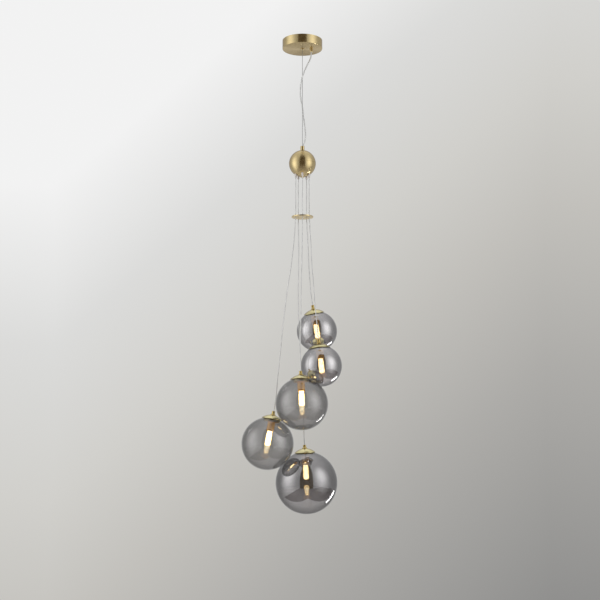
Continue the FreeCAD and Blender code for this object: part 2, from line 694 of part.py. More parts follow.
def check_model():
    DOC.recompute()
    faults = [f"{o.Label}: {o.State}" for o in DOC.Objects if {"Invalid", "Error"} & set(o.State)]
    for thing in MODEL:
        if thing.Shape.isNull() or not thing.Shape.isValid() or not thing.Shape.Solids:
            faults.append(f"{thing.Label}: no valid shape")
    if faults:
        raise RuntimeError("; ".join(faults))


def write_parts():
    os.makedirs("parts", exist_ok=True)
    for thing in MODEL:
        thing.Shape.exportStep(f"parts/{thing.Label}.step")
    print(f"{len(MODEL)} nodes written")


fill_sheet()
ceiling_bracket()
canopy_cover()
canopy_grub_screws()
supply_terminal()
wire_nozzle()
power_cord_grip()
suspension_wire()
power_cable()
hub_stem()
hub_upper_shell()
hub_lower_shell()
hub_tie_screw()
supply_splitter()
hub_bushes()
spacer_disc()
for pendant in PENDANTS:
    here = pendant_frame(pendant)
    upper_cable(pendant)
    lower_cable(pendant, here)
    cable_gland(pendant, here)
    globe_cap(pendant, here)
    lampholder(pendant, here)
    ceramic_socket(pendant, here)
    bulb(pendant, here)
    globe_collar(pendant, here)
    glass_globe(pendant, here)
check_model()
write_parts()
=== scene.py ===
"""The looks of a cluster pendant lamp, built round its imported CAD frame. Lengths are in metres.
The origin is the middle of the canopy's ceiling face, +Z is up and +Y points away from the camera."""

import json
import math

import bmesh
import bpy
from mathutils import Matrix, Vector


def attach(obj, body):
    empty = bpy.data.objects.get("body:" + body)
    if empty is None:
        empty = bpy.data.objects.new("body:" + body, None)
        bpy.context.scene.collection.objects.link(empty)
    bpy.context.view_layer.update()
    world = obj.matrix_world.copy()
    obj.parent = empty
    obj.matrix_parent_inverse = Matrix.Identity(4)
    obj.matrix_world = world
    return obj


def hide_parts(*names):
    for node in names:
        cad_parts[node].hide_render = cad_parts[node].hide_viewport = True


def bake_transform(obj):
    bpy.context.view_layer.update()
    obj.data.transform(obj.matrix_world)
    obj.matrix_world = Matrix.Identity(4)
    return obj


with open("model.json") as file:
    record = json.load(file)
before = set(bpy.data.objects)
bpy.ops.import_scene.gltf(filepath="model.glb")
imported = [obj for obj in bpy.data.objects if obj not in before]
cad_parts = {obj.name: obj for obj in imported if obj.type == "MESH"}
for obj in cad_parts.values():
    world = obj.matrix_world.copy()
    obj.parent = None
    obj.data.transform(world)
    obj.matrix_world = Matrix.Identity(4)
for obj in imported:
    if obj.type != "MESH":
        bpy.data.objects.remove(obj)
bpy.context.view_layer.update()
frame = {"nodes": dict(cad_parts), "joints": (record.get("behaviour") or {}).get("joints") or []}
scene = bpy.context.scene
scene.view_settings.view_transform = "Standard"

NODES = frame["nodes"]
JOINTS = {joint["name"]: joint for joint in frame["joints"]}
PENDANTS = (1, 2, 3, 4, 5)
TURNED_STEPS = 128
BULB_STEPS = 48
# Edges that turn by more than this many degrees are shaded sharp.
SHARP_ANGLE = 32


# ---------------------------------------------------------------- camera

CAMERA_PLACE = (-0.0072, -3.160, -1.1754)
CAMERA_PITCH = 6.98
CAMERA_LENS = 65.16
SENSOR = 36


def make_camera():
    data = bpy.data.cameras.new("camera")
    data.sensor_width = SENSOR
    data.lens = CAMERA_LENS
    camera = bpy.data.objects.new("camera", data)
    camera.location = CAMERA_PLACE
    camera.rotation_euler = (math.radians(90 + CAMERA_PITCH), 0, 0)
    scene.collection.objects.link(camera)
    scene.camera = camera


# ---------------------------------------------------------------- materials


class Tree:
    """The node tree of a material or world, with short ways to add and join nodes."""

    def __init__(self, owner, output):
        owner.use_nodes = True
        self.tree = owner.node_tree
        self.tree.nodes.clear()
        self.output = self.add(output)

    def add(self, kind, **values):
        made = self.tree.nodes.new(f"ShaderNode{kind}")
        for key, value in values.items():
            setattr(made, key, value)
        return made

    def join(self, source, target):
        self.tree.links.new(source, target)

    def shader(self, socket):
        self.join(socket, self.output.inputs["Surface"])

    def math(self, operation, *values):
        made = self.add("Math", operation=operation)
        for socket, value in zip(made.inputs, values):
            if isinstance(value, (int, float)):
                socket.default_value = value
            else:
                self.join(value, socket)
        return made.outputs["Value"]

    def ramp(self, factor, *stops):
        made = self.add("ValToRGB")
        band = made.color_ramp
        while len(band.elements) < len(stops):
            band.elements.new(0.5)
        for element, (place, colour) in zip(band.elements, stops):
            element.position = place
            element.color = (*colour, 1)
        self.join(factor, made.inputs["Fac"])
        return made.outputs["Color"]

    def split(self, vector):
        made = self.add("SeparateXYZ")
        self.join(vector, made.inputs["Vector"])
        return made.outputs


class Nodes(Tree):
    """A material's node tree."""

    def __init__(self, name):
        self.material = bpy.data.materials.new(name)
        super().__init__(self.material, "OutputMaterial")

    def place(self):
        return self.add("TexCoord").outputs["Object"]

    def principled(self, **values):
        made = self.add("BsdfPrincipled")
        for key, value in values.items():
            made.inputs[key.replace("_", " ")].default_value = value
        return made

    def facing(self, blend):
        # 0 where a surface faces the viewer, and 1 at its edge.
        made = self.add("LayerWeight")
        made.inputs["Blend"].default_value = blend
        return made.outputs["Facing"]

    def noise(self, vector, scale, detail, roughness):
        made = self.add("TexNoise")
        made.inputs["Scale"].default_value = scale
        made.inputs["Detail"].default_value = detail
        made.inputs["Roughness"].default_value = roughness
        self.join(vector, made.inputs["Vector"])
        return made.outputs["Fac"]

    def scaled(self, vector, scale):
        made = self.add("Mapping")
        made.inputs["Scale"].default_value = scale
        self.join(vector, made.inputs["Vector"])
        return made.outputs["Vector"]

    def multiplied(self, first, second):
        made = self.add("Mix", data_type="RGBA", blend_type="MULTIPLY")
        made.inputs["Factor"].default_value = 1
        self.join(first, made.inputs["A"])
        self.join(second, made.inputs["B"])
        return made.outputs["Result"]

    def span(self, factor, low, high):
        made = self.add("MapRange")
        made.inputs["To Min"].default_value = low
        made.inputs["To Max"].default_value = high
        self.join(factor, made.inputs["Value"])
        return made.outputs["Result"]

    def bump(self, height, strength, distance):
        made = self.add("Bump")
        made.inputs["Strength"].default_value = strength
        made.inputs["Distance"].default_value = distance
        self.join(height, made.inputs["Height"])
        return made.outputs["Normal"]


# Painted shade: how much darker the brass is painted where it is seen along its surface, at its rims.
RIM_PAINTED_SHADE = (0.42, 0.36, 0.30)
# Where the painted rim shade starts and where it is full, from facing the viewer at 0 to the edge at 1.
RIM_SHADE_FADE = (0.52, 0.84)
LATHE_RINGS = (6, 1500, 1)
# Turns the stretched highlights from round the piece to across its rings.
QUARTER_TURN = 0.25
# The colour of a painted glow, which stands in for a bulb's light falling on the brass beside it.
PAINTED_BULB_GLOW = (1.0, 0.5, 0.13, 1)


def spun_brass(name, light, dark, roughness, stretch, painted_glow=0.0):
    """Satin brass spun on a lathe: fine rings round the piece, and highlights stretched across them.
    The turned pieces' UV map runs round the piece in u and along its profile, in metres, in v.
    The last argument sets how strongly it glows: painted light that stands in for the bulb beside it."""
    n = Nodes(name)
    turned = n.add("UVMap", uv_map="turned").outputs["UV"]
    rings = n.noise(n.scaled(turned, LATHE_RINGS), scale=1.0, detail=4.0, roughness=0.7)
    clouds = n.noise(n.place(), scale=38, detail=3.0, roughness=0.55)
    body = n.principled(Metallic=1.0, Anisotropic=stretch, Anisotropic_Rotation=QUARTER_TURN)
    near, far = RIM_SHADE_FADE
    # Painted shade: the base colour darkens towards the rims, where the brass is seen along its surface.
    rim_shade = n.ramp(n.facing(blend=0.5), (near, (1, 1, 1)), (far, RIM_PAINTED_SHADE))
    n.join(n.multiplied(n.ramp(clouds, (0.3, dark), (0.72, light)), rim_shade), body.inputs["Base Color"])
    n.join(n.span(rings, roughness - 0.02, roughness + 0.03), body.inputs["Roughness"])
    n.join(n.bump(rings, strength=0.015, distance=0.00005), body.inputs["Normal"])
    # Painted light: emission that stands in for the bulb's light on the brass.
    body.inputs["Emission Color"].default_value = PAINTED_BULB_GLOW
    body.inputs["Emission Strength"].default_value = painted_glow
    tangent = n.add("Tangent", direction_type="UV_MAP", uv_map="turned")
    n.join(tangent.outputs["Tangent"], body.inputs["Tangent"])
    n.shader(body.outputs["BSDF"])
    return n.material


def plain_metal(name, colour, dark, roughness, scale, grain=(1, 1, 1)):
    """Metal with faint marks, drawn out where its grain isn't even."""
    n = Nodes(name)
    marks = n.noise(n.scaled(n.place(), grain), scale, detail=4.0, roughness=0.65)
    body = n.principled(Metallic=1.0)
    n.join(n.ramp(marks, (0.3, dark), (0.7, colour)), body.inputs["Base Color"])
    n.join(n.span(marks, roughness - 0.03, roughness + 0.04), body.inputs["Roughness"])
    n.join(n.bump(marks, strength=0.05, distance=0.00008), body.inputs["Normal"])
    n.shader(body.outputs["BSDF"])
    return n.material


def plain_solid(name, colour, dark, roughness, scale, bump=0.2):
    """Ceramic, plastic or painted board with faint marks."""
    n = Nodes(name)
    marks = n.noise(n.place(), scale, detail=4.0, roughness=0.6)
    body = n.principled()
    n.join(n.ramp(marks, (0.3, dark), (0.7, colour)), body.inputs["Base Color"])
    n.join(n.span(marks, roughness - 0.05, roughness + 0.08), body.inputs["Roughness"])
    n.join(n.bump(marks, strength=bump, distance=0.0001), body.inputs["Normal"])
    n.shader(body.outputs["BSDF"])
    return n.material


# Draws the strands' pattern out along the cable.
STRAND_LAY = (1, 1, 0.04)


def clear_sheath(name, wires, gaps, roughness=0.22):
    """A clear plastic sheath over tinned strands that run along it in a long lay."""
    n = Nodes(name)
    along = n.scaled(n.place(), STRAND_LAY)
    strands = n.noise(along, scale=900, detail=2.0, roughness=0.5)
    body = n.principled(Metallic=0.35, Coat_Weight=0.8, Coat_Roughness=0.12, Coat_IOR=1.5)
    n.join(n.ramp(strands, (0.38, gaps), (0.62, wires)), body.inputs["Base Color"])
    n.join(n.span(strands, roughness, roughness + 0.15), body.inputs["Roughness"])
    n.shader(body.outputs["BSDF"])
    return n.material


# How much of the mirror shows through the smoke, from where the glass faces the viewer to its edge.
RIM_SMOKE = ((0.22, 1.0), (0.60, 0.34), (0.90, 0.08))


def smoked_glass(name, facing, rim, mirror):
    """Smoke grey glass with a thin mirror coat: facing and rim are the share of light each surface
    stops where it is seen square on and at its edge, and mirror is how much of that it reflects.
    The smoke is deeper at the edge, where the wall is seen along its length."""
    n = Nodes(name)
    smoke = n.noise(n.place(), scale=6, detail=2.0, roughness=0.5)
    body = n.principled(Metallic=1.0, Roughness=0.035)
    coat = (mirror, mirror * 0.98, mirror * 0.99)
    edge = n.facing(blend=0.3)
    stops = [(facing_at, tuple(share * c for c in coat)) for facing_at, share in RIM_SMOKE]
    deep = n.ramp(edge, *stops)
    patches = n.ramp(smoke, (0.3, (0.93, 0.93, 0.93)), (0.7, (1, 1, 1)))
    n.join(n.multiplied(deep, patches), body.inputs["Base Color"])
    n.join(n.bump(smoke, strength=0.05, distance=0.002), body.inputs["Normal"])
    n.join(n.span(edge, facing, rim), body.inputs["Alpha"])
    n.shader(body.outputs["BSDF"])
    return n.material


def glowing(name, core, edge, strength):
    """A lit bulb: white hot towards the viewer and amber towards its rim."""
    n = Nodes(name)
    frost = n.noise(n.place(), scale=260, detail=3.0, roughness=0.6)
    body = n.principled(Roughness=0.3)
    body.inputs["Base Color"].default_value = (1.0, 0.85, 0.6, 1)
    rim = tuple(0.35 * c for c in edge)
    heat = n.ramp(n.facing(blend=0.45), (0.15, core), (0.62, edge), (0.9, rim))
    n.join(heat, body.inputs["Emission Color"])
    body.inputs["Emission Strength"].default_value = strength
    n.join(n.bump(frost, strength=0.1, distance=0.0001), body.inputs["Normal"])
    n.shader(body.outputs["BSDF"])
    return n.material


BRASS_LIGHT = (0.84, 0.68, 0.37)
BRASS_DARK = (0.76, 0.60, 0.31)
BRIGHT_LIGHT = (0.76, 0.60, 0.25)
BRIGHT_DARK = (0.62, 0.47, 0.17)
PALE_LIGHT = (0.88, 0.81, 0.47)
PALE_DARK = (0.78, 0.70, 0.37)
# Painted light: the lampholders' brass is coloured orange as if lit by the bulb beside it.
BULB_LIT_LIGHT = (0.86, 0.52, 0.16)
BULB_LIT_DARK = (0.70, 0.40, 0.11)

MATERIALS = {
    "brass": spun_brass("satin_brass_spun", BRASS_LIGHT, BRASS_DARK, 0.26, 0.88),
    "bright_brass": spun_brass("bright_brass_turned", BRIGHT_LIGHT, BRIGHT_DARK, 0.16, 0.3),
    "cap_brass": spun_brass("pale_brass_spun", PALE_LIGHT, PALE_DARK, 0.2, 0.5),
    # Painted light: the lampholder brass is tinted and made to glow as if lit by its bulb.
    "holder_brass": spun_brass("bulb_lit_brass_turned", BULB_LIT_LIGHT, BULB_LIT_DARK, 0.32, 0.3, painted_glow=0.2),
    "flat_brass": plain_metal("satin_brass_flat", BRASS_LIGHT, BRASS_DARK, 0.3, 60),
    "steel": plain_metal("drawn_steel", (0.55, 0.55, 0.54), (0.38, 0.38, 0.37), 0.33, 90, (1, 1, 0.08)),
    "sheath": clear_sheath("clear_sheath", (0.58, 0.58, 0.57), (0.42, 0.42, 0.41)),
    "ceramic": plain_solid("white_ceramic", (0.86, 0.84, 0.79), (0.78, 0.76, 0.71), 0.5, 120),
    "black": plain_solid("black_moulding", (0.045, 0.045, 0.047), (0.025, 0.025, 0.027), 0.45, 160),
    "bush": plain_solid("clear_bush", (0.50, 0.46, 0.43), (0.38, 0.35, 0.33), 0.28, 90),
    "bulb": glowing("lit_bulb", (1.0, 0.86, 0.5), (1.0, 0.62, 0.16), 6.5),
    "flag": plain_solid("dark_flag", (0.12, 0.085, 0.045), (0.10, 0.072, 0.04), 0.9, 3, bump=0.0),
    "mat": plain_solid("grey_mat", (0.26, 0.24, 0.235), (0.23, 0.21, 0.205), 0.9, 1, bump=0.0),
}


# ---------------------------------------------------------------- turned pieces

ON_AXIS = 1e-7
SAME_PLACE = 1e-8
# How many steps an arc has: on a globe, the hub, a dome, a rolled edge and a fine edge.
GLOBE_STEPS = 72
HUB_STEPS = 40
DOME_STEPS = 24
ROLL_STEPS = 8
EDGE_STEPS = 4


def arc(middle_r, middle_z, radius, start, end, steps):
    """Points of an arc in the (r, z) plane, its angles in degrees from +r towards +z."""
    points = []
    for step in range(steps + 1):
        angle = math.radians(start + (end - start) * step / steps)
        points.append((middle_r + radius * math.cos(angle), middle_z + radius * math.sin(angle)))
    return points


def ring_of(made, r, z, steps):
    """The corners that one profile point sweeps: a single one where it lies on the axis."""
    if r < ON_AXIS:
        return [made.verts.new((0, 0, z))]
    turns = [math.tau * step / steps for step in range(steps)]
    return [made.verts.new((r * math.cos(turn), r * math.sin(turn), z)) for turn in turns]


def face_corners(low, high, row, step, steps):
    """The corners of one face between two rings, each with its step round and its row along the profile."""
    after = (step + 1) % steps
    corners = [(low[step % len(low)], step, row)]
    if len(low) > 1:
        corners.append((low[after], step + 1, row))
    if len(high) > 1:
        corners.append((high[after], step + 1, row + 1))
    corners.append((high[step % len(high)], step, row + 1))
    return corners


def turned_mesh(name, profile, steps):
    """Spins a closed or axis-to-axis profile of (r, z) points round +Z."""
    mesh = bpy.data.meshes.new(name)
    made = bmesh.new()
    rings = [ring_of(made, r, z, steps) for r, z in profile]
    uv = made.loops.layers.uv.new("turned")
    lengths = [0.0]
    for (r0, z0), (r1, z1) in zip(profile, profile[1:]):
        lengths.append(lengths[-1] + math.hypot(r1 - r0, z1 - z0))
    for row, (low, high) in enumerate(zip(rings, rings[1:])):
        for step in range(steps):
            corners = face_corners(low, high, row, step, steps)
            if len(corners) < 3:
                continue
            face = made.faces.new([corner for corner, _, _ in corners])
            for loop, (_, turn, at_row) in zip(face.loops, corners):
                loop[uv].uv = (turn / steps, lengths[at_row])
    bmesh.ops.remove_doubles(made, verts=made.verts, dist=SAME_PLACE)
    bmesh.ops.recalc_face_normals(made, faces=made.faces)
    made.to_mesh(mesh)
    made.free()
    return mesh


def finish_mesh(mesh):
    mesh.shade_smooth()
    mesh.set_sharp_from_angle(angle=math.radians(SHARP_ANGLE))


def place_piece(name, data, material, body, replaces):
    """Puts a piece on its body, in place of the CAD node named in replaces."""
    piece = bpy.data.objects.new(name, data)
    scene.collection.objects.link(piece)
    data.materials.append(material)
    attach(piece, body)
    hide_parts(replaces)
    return piece


def turned(name, profile, replaces, body, place=Matrix.Identity(4), material=MATERIALS["brass"],
           slot="satin_brass", steps=TURNED_STEPS):
    """A piece spun from its profile and laid at place."""
    mesh = turned_mesh(name, profile, steps)
    mesh.transform(place)
    finish_mesh(mesh)
    return place_piece(name, mesh, material, body, replaces)


# ---------------------------------------------------------------- cords

POWER_CABLE = {
    "diameter": 0.004,
    "length": 0.3143,
    "route": [
        (0.027, 0, -0.029), (0.027, 0, -0.0495), (0.019, -0.0025, -0.068), (0.0095, -0.005, -0.088),
        (0.0005, -0.006, -0.111), (-0.005, -0.003, -0.136), (-0.007, 0.001, -0.162), (-0.004, 0.005, -0.186),
        (0.001, 0.0065, -0.210), (0.0035, 0.0045, -0.237), (0.0072, 0.0025, -0.264), (0.0095, 0.0005, -0.290),
        (0.008, 0, -0.309), (0.0031, 0, -0.32145), (0.0031, 0, -0.33445),
    ],
}

# What each pendant cable passes between the spacer disc and the last straight run into its gland.
PENDANT_CABLES = {
    1: {"length": 0.2647, "route": [
        (0.0165, 0.025, -0.610), (0.0185, 0.034, -0.668), (0.022, 0.0425, -0.722)]},
    2: {"length": 0.3686, "route": [
        (0.0245, -0.0065, -0.608), (0.027, -0.006, -0.675), (0.032, -0.0058, -0.733),
        (0.036, -0.0055, -0.790), (0.0398, -0.0052, -0.838)]},
    3: {"length": 0.4650, "route": [
        (-0.0006, -0.029, -0.648), (-0.0036, -0.0355, -0.735), (-0.0042, -0.042, -0.822),
        (-0.006, -0.0485, -0.902)]},
    4: {"length": 0.5811, "route": [
        (-0.024, -0.008, -0.610), (-0.033, -0.011, -0.690), (-0.046, -0.0135, -0.772),
        (-0.056, -0.016, -0.858), (-0.064, -0.0182, -0.940), (-0.0715, -0.0198, -1.015)]},
    5: {"length": 0.6744, "route": [
        (-0.0105, 0.0175, -0.628), (-0.0118, 0.0183, -0.705), (-0.0123, 0.0185, -0.790),
        (-0.0095, 0.0205, -0.880), (-0.005, 0.025, -0.965), (-0.0003, 0.0288, -1.048),
        (0.0028, 0.0308, -1.120)]},
}
PENDANT_CABLE_DIAMETER = 0.0028
CABLE_LEAD = 0.030
GLAND_TOP = 0.019
GLAND_BORE_DEPTH = 0.008
CORD_STEPS = 16
CORD_ROUND_STEPS = 6


def cable_curve(name, route, diameter):
    curve = bpy.data.curves.new(name, "CURVE")
    curve.dimensions = "3D"
    curve.resolution_u = CORD_STEPS
    curve.bevel_depth = diameter / 2
    curve.bevel_resolution = CORD_ROUND_STEPS
    curve.use_fill_caps = True
    spline = curve.splines.new("NURBS")
    spline.points.add(len(route) - 1)
    for point, place in zip(spline.points, route):
        point.co = (*place, 1)
    spline.order_u = 3
    spline.use_endpoint_u = True
    return curve


def power_cord():
    """A tube that bends from the canopy's cord grip to the swinging wire."""
    curve = cable_curve("power_cord", POWER_CABLE["route"], POWER_CABLE["diameter"])
    helper = bpy.data.objects.new("power_cord_line", curve)
    mesh = bpy.data.meshes.new_from_object(helper)
    curve.bevel_depth = 0
    line = bpy.data.meshes.new_from_object(helper)
    bpy.data.objects.remove(helper)
    mesh.shade_smooth()
    mesh.materials.clear()
    cord = bpy.data.objects.new("power_cord", mesh)
    scene.collection.objects.link(cord)
    mesh.materials.append(MATERIALS["sheath"])
    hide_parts("power_cable")
    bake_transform(cord)


def pendant_place(i):
    """The top of the glass, with +Z up the pendant's own axis."""
    joint = JOINTS[f"globe_{i}_turn"]
    tilt = Vector((0, 0, 1)).rotation_difference(Vector(joint["axis"]))
    return Matrix.Translation(joint["pos_m"]) @ tilt.to_matrix().to_4x4()


def pendant_cord(i, place):
    """From its bend under the spacer disc to the bottom of its gland's bore."""
    cable = PENDANT_CABLES[i]
    start = JOINTS[f"pendant_{i}_swing_out"]["pos_m"]
    lead_in = place @ Vector((0, 0, GLAND_TOP + CABLE_LEAD))
    end = place @ Vector((0, 0, GLAND_TOP - GLAND_BORE_DEPTH))
    route = [tuple(start)] + cable["route"] + [tuple(lead_in), tuple(end)]
    name = f"pendant_cord_{i}"
    curve = cable_curve(name, route, PENDANT_CABLE_DIAMETER)
    cord = place_piece(name, curve, MATERIALS["sheath"], f"pendant_{i}", f"lower_cable_{i}")


# ---------------------------------------------------------------- canopy and hub

CANOPY_RADIUS = 0.060
CANOPY_HEIGHT = 0.026
CANOPY_WALL = 0.0015
CANOPY_EDGE = 0.0012
NOZZLE_HOLE = 0.005

HUB_RADIUS = 0.040
HUB_MIDDLE = -0.3795
HUB_WALL = 0.0015
HUB_SEAM = 0.00025
STEM_RADIUS = 0.006
STEM_CUP_RADIUS = 0.0052
STEM_CUP_DEPTH = 0.008
STEM_STAND_OUT = 0.0135
TIE_RADIUS = 0.006


def canopy():
    """A spun cup with a rolled lower edge."""
    floor = -CANOPY_HEIGHT
    inner = CANOPY_RADIUS - CANOPY_WALL
    corner = arc(CANOPY_RADIUS - CANOPY_EDGE, floor + CANOPY_EDGE, CANOPY_EDGE, 0, -90, 6)
    profile = [(NOZZLE_HOLE, floor + CANOPY_WALL), (inner, floor + CANOPY_WALL)]
    profile += [(inner, 0), (CANOPY_RADIUS, 0)]
    profile += corner + [(NOZZLE_HOLE, floor), (NOZZLE_HOLE, floor + CANOPY_WALL)]
    turned("canopy_dish", profile, "canopy_cover", "canopy")


def hub_half(side, hole_radius):
    """The profile of a spun half sphere from its seam to its hole. Side is 1 above and -1 below."""
    seam = math.degrees(math.asin(HUB_SEAM / HUB_RADIUS))
    inner = HUB_RADIUS - HUB_WALL
    outer_hole = math.degrees(math.acos(hole_radius / HUB_RADIUS))
    inner_hole = math.degrees(math.acos(hole_radius / inner))
    profile = [(inner, HUB_MIDDLE), (HUB_RADIUS - HUB_SEAM, HUB_MIDDLE)]
    profile += arc(0, HUB_MIDDLE, HUB_RADIUS, side * seam, side * outer_hole, HUB_STEPS)
    profile += arc(0, HUB_MIDDLE, inner, side * inner_hole, 0, DOME_STEPS)
    return profile


def hub():
    """Two spun half spheres that meet in a fine seam."""
    turned("hub_upper_half", hub_half(1, STEM_RADIUS), "hub_upper_shell", "hub")
    turned("hub_lower_half", hub_half(-1, TIE_RADIUS), "hub_lower_shell", "hub")


def hub_stem():
    """The turned stem that carries the ball, with a cup for the wire and the power cable."""
    shoulder = HUB_MIDDLE + math.sqrt(HUB_RADIUS ** 2 - STEM_RADIUS ** 2)
    top = shoulder + STEM_STAND_OUT
    edge = 0.0006
    groove = 0.0004
    groove_places = (top - 0.004, shoulder + 0.0035)
    profile = [(0, top - STEM_CUP_DEPTH), (STEM_CUP_RADIUS, top - STEM_CUP_DEPTH), (STEM_CUP_RADIUS, top)]
    profile += arc(STEM_RADIUS - edge, top - edge, edge, 90, 0, EDGE_STEPS)
    for z in groove_places:
        profile += [(STEM_RADIUS, z + groove), (STEM_RADIUS - groove, z), (STEM_RADIUS, z - groove)]
    profile += [(STEM_RADIUS, shoulder - HUB_WALL), (0, shoulder - HUB_WALL)]
    turned("hub_turned_stem", profile, "hub_stem", "hub")


# ---------------------------------------------------------------- pendants

GLAND_RADIUS = 0.0045
GLAND_GROOVE_DROP = 0.0035
GLAND_FOOT_RADIUS = 0.008
GLAND_FOOT_HEIGHT = 0.0045
GLAND_BORE = 0.0015
GLAND_FLARE_CURVE = 1.6
GLAND_FLARE_STEPS = 8
CAP_DOME_RADIUS = 0.044
CAP_RADIUS = 0.0305
CAP_SHEET = 0.0012
CAP_RIM_GAP = 0.0008
CAP_FLAT_DEPTH = 0.0007
CAP_HOLE = 0.005
CAP_PAD_RADIUS = 0.010
CAP_PAD = 0.0022
MOUTH_RADIUS = 0.023
GLASS_WALL = 0.0025
HOLDER_BOSS_RADIUS = 0.009
HOLDER_FLANGE_TOP = -0.0051
HOLDER_FLANGE = (0.01982, 0.004)
HOLDER_SLEEVE = (0.011, 0.030)
HOLDER_WALL = 0.0014
HOLDER_SHOULDER = 0.006
HOLDER_RINGS = (0.004, 0.0052, 0.0245, 0.0257)
SOCKET_HEIGHT = 0.023
BULB_GAP = 0.0003
BULB_BASE = (0.007, 0.008)
BULB_RADIUS = 0.008
BULB_LENGTH = 0.035
BULB_CORNER = 0.0045
BULB_TIP = 0.0008
GLOBE_DIAMETERS = {1: 0.120, 2: 0.120, 3: 0.150, 4: 0.150, 5: 0.180}
GLOBE_GLASS = {
    1: smoked_glass("smoked_glass_1", 0.54, 0.86, 0.74),
    2: smoked_glass("smoked_glass_2", 0.54, 0.86, 0.76),
    3: smoked_glass("smoked_glass_3", 0.24, 0.6, 0.38),
    4: smoked_glass("smoked_glass_4", 0.24, 0.6, 0.38),
    5: smoked_glass("smoked_glass_5", 0.55, 0.86, 0.57),
}


def dome_middle(i):
    """The height of the middle of a cap's dome, whose rim stands just over the glass."""
    radius = GLOBE_DIAMETERS[i] / 2
    glass = math.sqrt(radius ** 2 - CAP_RADIUS ** 2) - radius
    return glass + CAP_RIM_GAP - math.sqrt((CAP_DOME_RADIUS - CAP_SHEET) ** 2 - CAP_RADIUS ** 2)


def cap_top(i):
    return dome_middle(i) + CAP_DOME_RADIUS - CAP_FLAT_DEPTH


def globe_cap(i, place):
    """A spun dome with a rolled rim, flat in the middle under the gland."""
    middle = dome_middle(i)
    top = cap_top(i)
    pad = top - CAP_PAD
    roll = CAP_SHEET / 2
    centre = CAP_DOME_RADIUS - roll
    inner = CAP_DOME_RADIUS - CAP_SHEET
    flat_edge = math.degrees(math.asin((CAP_DOME_RADIUS - CAP_FLAT_DEPTH) / CAP_DOME_RADIUS))
    pad_edge = math.degrees(math.acos(CAP_PAD_RADIUS / inner))
    rim = math.degrees(math.acos((CAP_RADIUS - roll) / centre))
    rim_z = middle + centre * math.sin(math.radians(rim))
    profile = [(CAP_HOLE, pad), (CAP_HOLE, top)]
    profile += arc(0, middle, CAP_DOME_RADIUS, flat_edge, rim, DOME_STEPS)
    profile += arc(CAP_RADIUS - roll, rim_z, roll, rim, rim - 180, ROLL_STEPS)[1:-1]
    profile += arc(0, middle, inner, rim, pad_edge, DOME_STEPS)
    profile += [(CAP_PAD_RADIUS, pad), (CAP_HOLE, pad)]
    material = MATERIALS["cap_brass"]
    turned(f"globe_{i}_cap", profile, f"globe_cap_{i}", f"pendant_{i}", place, material)


def cable_gland(i, place):
    """A slim turned barrel with a groove, on a flared foot."""
    edge = 0.0007
    neck = 0.0005
    foot_rim = 0.0007
    top = GLAND_TOP
    foot = cap_top(i)
    flare_top = foot + GLAND_FOOT_HEIGHT
    groove = top - GLAND_GROOVE_DROP
    profile = [(0, top - GLAND_BORE_DEPTH), (GLAND_BORE, top - GLAND_BORE_DEPTH), (GLAND_BORE, top)]
    profile += arc(GLAND_RADIUS - edge, top - edge, edge, 90, 0, EDGE_STEPS)
    profile += [(GLAND_RADIUS, groove + neck), (GLAND_RADIUS - neck, groove), (GLAND_RADIUS, groove - neck)]
    flare = GLAND_FOOT_RADIUS - GLAND_RADIUS
    for step in range(GLAND_FLARE_STEPS + 1):
        share = step / GLAND_FLARE_STEPS
        drop = (flare_top - foot - foot_rim) * share
        profile.append((GLAND_RADIUS + flare * share ** GLAND_FLARE_CURVE, flare_top - drop))
    profile += [(GLAND_FOOT_RADIUS, foot), (0, foot)]
    material = MATERIALS["bright_brass"]
    turned(f"pendant_{i}_gland", profile, f"cable_gland_{i}", f"pendant_{i}", place, material)


def lampholder(i, place):
    """A turned holder with a stepped flange and a ringed sleeve, open below round the socket."""
    flange_r, flange_h = HOLDER_FLANGE
    sleeve_r, sleeve_h = HOLDER_SLEEVE
    flange_top = HOLDER_FLANGE_TOP
    sleeve_top = flange_top - flange_h
    bottom = sleeve_top - sleeve_h
    boss_r = HOLDER_BOSS_RADIUS
    boss_top = cap_top(i) - CAP_PAD
    edge = 0.0005
    ring = 0.0004
    profile = [(0, boss_top), (boss_r, boss_top), (boss_r, flange_top), (flange_r - edge, flange_top)]
    profile += [(flange_r, flange_top - edge), (flange_r, sleeve_top + edge), (flange_r - edge, sleeve_top)]
    profile += [(sleeve_r, sleeve_top)]
    for drop in HOLDER_RINGS:
        z = sleeve_top - drop
        profile += [(sleeve_r, z + ring), (sleeve_r - ring, z), (sleeve_r, z - ring)]
    profile += [(sleeve_r, bottom + edge), (sleeve_r - edge, bottom), (sleeve_r - HOLDER_WALL, bottom)]
    profile += [(sleeve_r - HOLDER_WALL, sleeve_top - HOLDER_SHOULDER), (0, sleeve_top - HOLDER_SHOULDER)]
    material = MATERIALS["holder_brass"]
    turned(f"pendant_{i}_lampholder", profile, f"lampholder_{i}", f"pendant_{i}", place, material)


def bulb(i, place):
    """A two pin capsule: a pressed foot, a straight envelope and a sealed tip, lit inside."""
    socket_top = HOLDER_FLANGE_TOP - HOLDER_FLANGE[1] - HOLDER_SHOULDER
    top = socket_top - SOCKET_HEIGHT - BULB_GAP
    base_r, base_h = BULB_BASE
    foot = top - base_h
    edge = 0.0006
    neck = 0.001
    swell = 0.0003
    shoulder = 0.0015
    tip = 0.0012
    profile = [(0, top), (base_r - edge, top), (base_r, top - edge), (base_r, foot + neck)]
    profile += [(base_r + swell, foot), (BULB_RADIUS, foot - shoulder)]
    end = foot - BULB_LENGTH + BULB_TIP
    profile += arc(BULB_RADIUS - BULB_CORNER, end + BULB_CORNER, BULB_CORNER, 0, -80, 12)
    profile += [(tip * 1.6, end), (tip, end - BULB_TIP * 0.7), (0, end - BULB_TIP)]
    turned(f"bulb_{i}_capsule", profile, f"bulb_{i}", f"bulb_{i}", place, MATERIALS["bulb"],
           "lit_bulb", BULB_STEPS)


